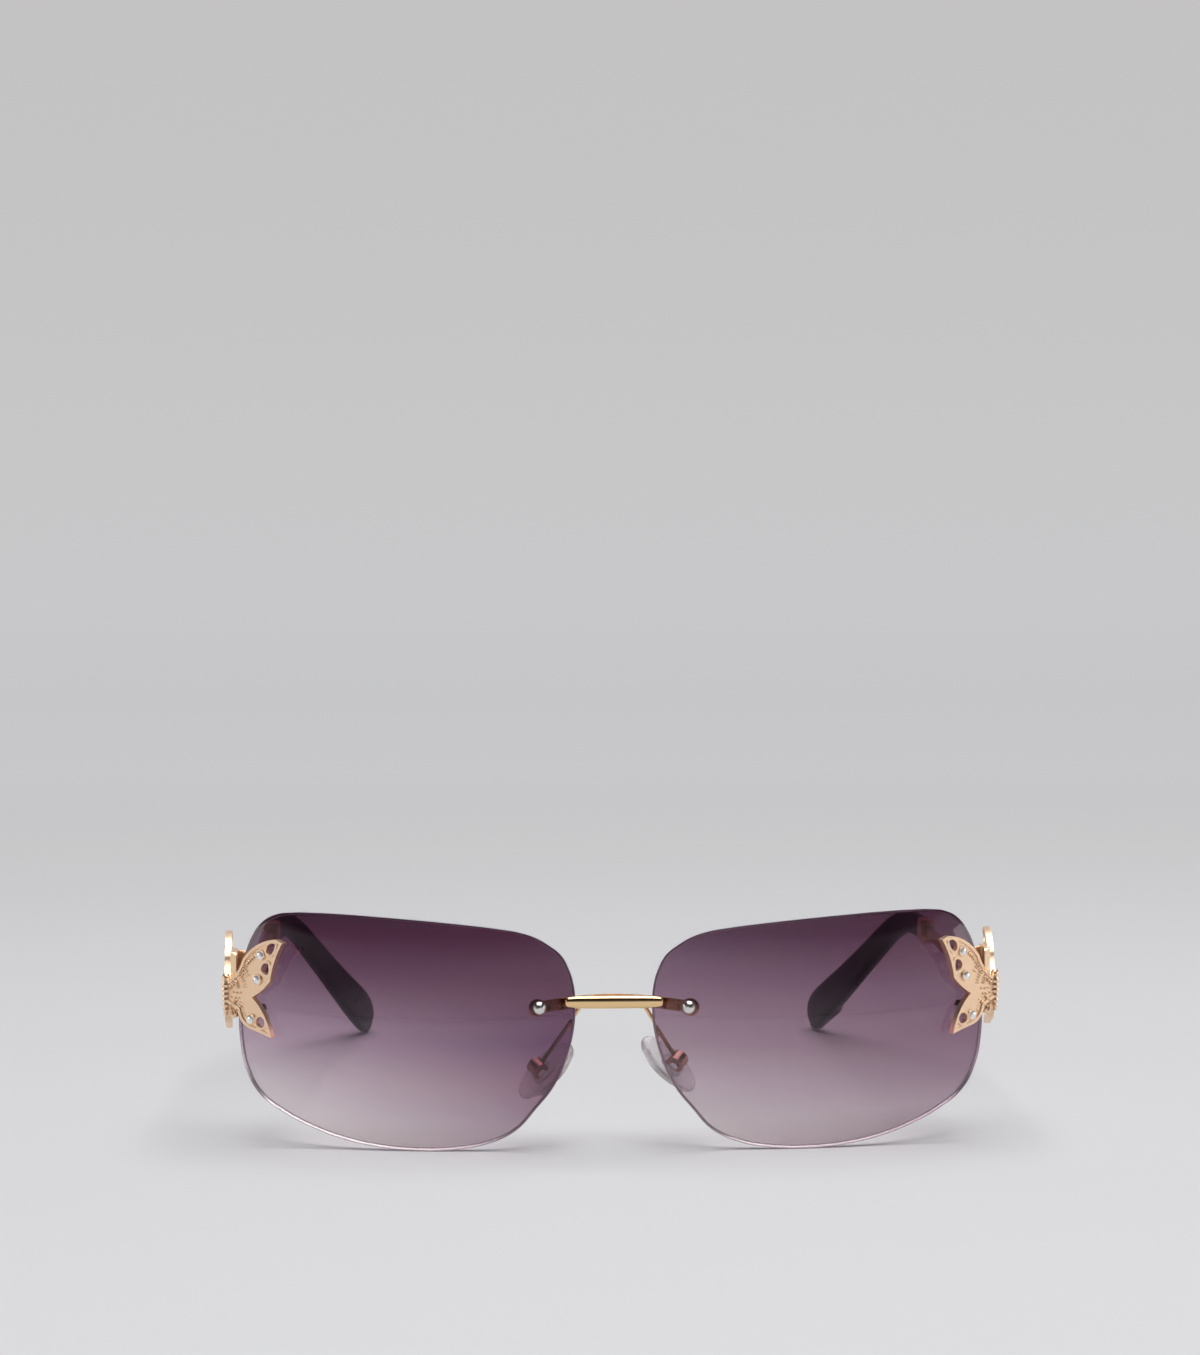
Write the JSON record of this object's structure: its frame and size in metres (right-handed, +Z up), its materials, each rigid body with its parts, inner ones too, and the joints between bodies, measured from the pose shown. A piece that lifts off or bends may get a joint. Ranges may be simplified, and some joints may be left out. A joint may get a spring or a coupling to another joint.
{
  "type": "sunglasses",
  "caption": "Rimless wrap sunglasses with graded tinted lenses, a gold bar bridge, a jewelled butterfly casting on each corner and folding temples.",
  "frame": {"origin": "on the table under the middle of the open sunglasses' bounding box", "axes": "+Z up, the front looks along -Y, +X is the wearer's left; the temples run back along +Y"},
  "size_m": [0.1544, 0.1382, 0.0463],
  "materials": {
    "lens": "gloss",
    "gold_polished": "polished",
    "gold_satin": "satin",
    "silver": "polished",
    "nylon_clear": "gloss",
    "pad_clear": "satin",
    "crystal": "gloss",
    "sleeve_black": "semi-gloss"
  },
  "bodies": {
    "front": {"left_lens": "lens", "right_lens": "lens", "bridge_bar": "gold_polished", "bridge_strap": "gold_polished", "bridge_screws": "silver", "bridge_bushes": "nylon_clear", "bridge_nuts": "silver", "left_butterfly": "gold_satin", "right_butterfly": "gold_satin", "left_stones": "crystal", "right_stones": "crystal", "wing_bushes": "nylon_clear", "wing_nuts": "silver", "left_pad_arm": "gold_polished", "right_pad_arm": "gold_polished", "left_pad_box": "gold_polished", "right_pad_box": "gold_polished", "left_pad_screw": "silver", "right_pad_screw": "silver", "left_end_piece": "gold_satin", "right_end_piece": "gold_satin", "left_hinge_screw": "gold_polished", "right_hinge_screw": "gold_polished"},
    "left_temple": {"left_temple_arm": "gold_polished", "left_ferrule": "gold_satin", "left_temple_sleeve": "sleeve_black"},
    "left_pad": {"left_pad_insert": "nylon_clear", "left_nose_pad": "pad_clear"},
    "right_temple": {"right_temple_arm": "gold_polished", "right_ferrule": "gold_satin", "right_temple_sleeve": "sleeve_black"},
    "right_pad": {"right_pad_insert": "nylon_clear", "right_nose_pad": "pad_clear"}
  },
  "joints": [
    {"name": "left_temple_fold", "type": "hinge", "parent": "front", "child": "left_temple", "pos_m": [0.073, -0.04707, 0.0313], "axis": [0, 0, 1], "range_deg": [0, 84]},
    {"name": "right_temple_fold", "type": "hinge", "parent": "front", "child": "right_temple", "pos_m": [-0.073, -0.04707, 0.0313], "axis": [0, 0, -1], "range_deg": [0, 76]},
    {"name": "left_pad_rock", "type": "hinge", "parent": "front", "child": "left_pad", "pos_m": [0.0129, -0.06007, 0.01683], "axis": [0.4912, 0.7368, 0.4645], "range_deg": [-10, 10]},
    {"name": "right_pad_rock", "type": "hinge", "parent": "front", "child": "right_pad", "pos_m": [-0.015, -0.06014, 0.01563], "axis": [-0.4912, 0.7368, 0.4645], "range_deg": [-10, 10]}
  ]
}
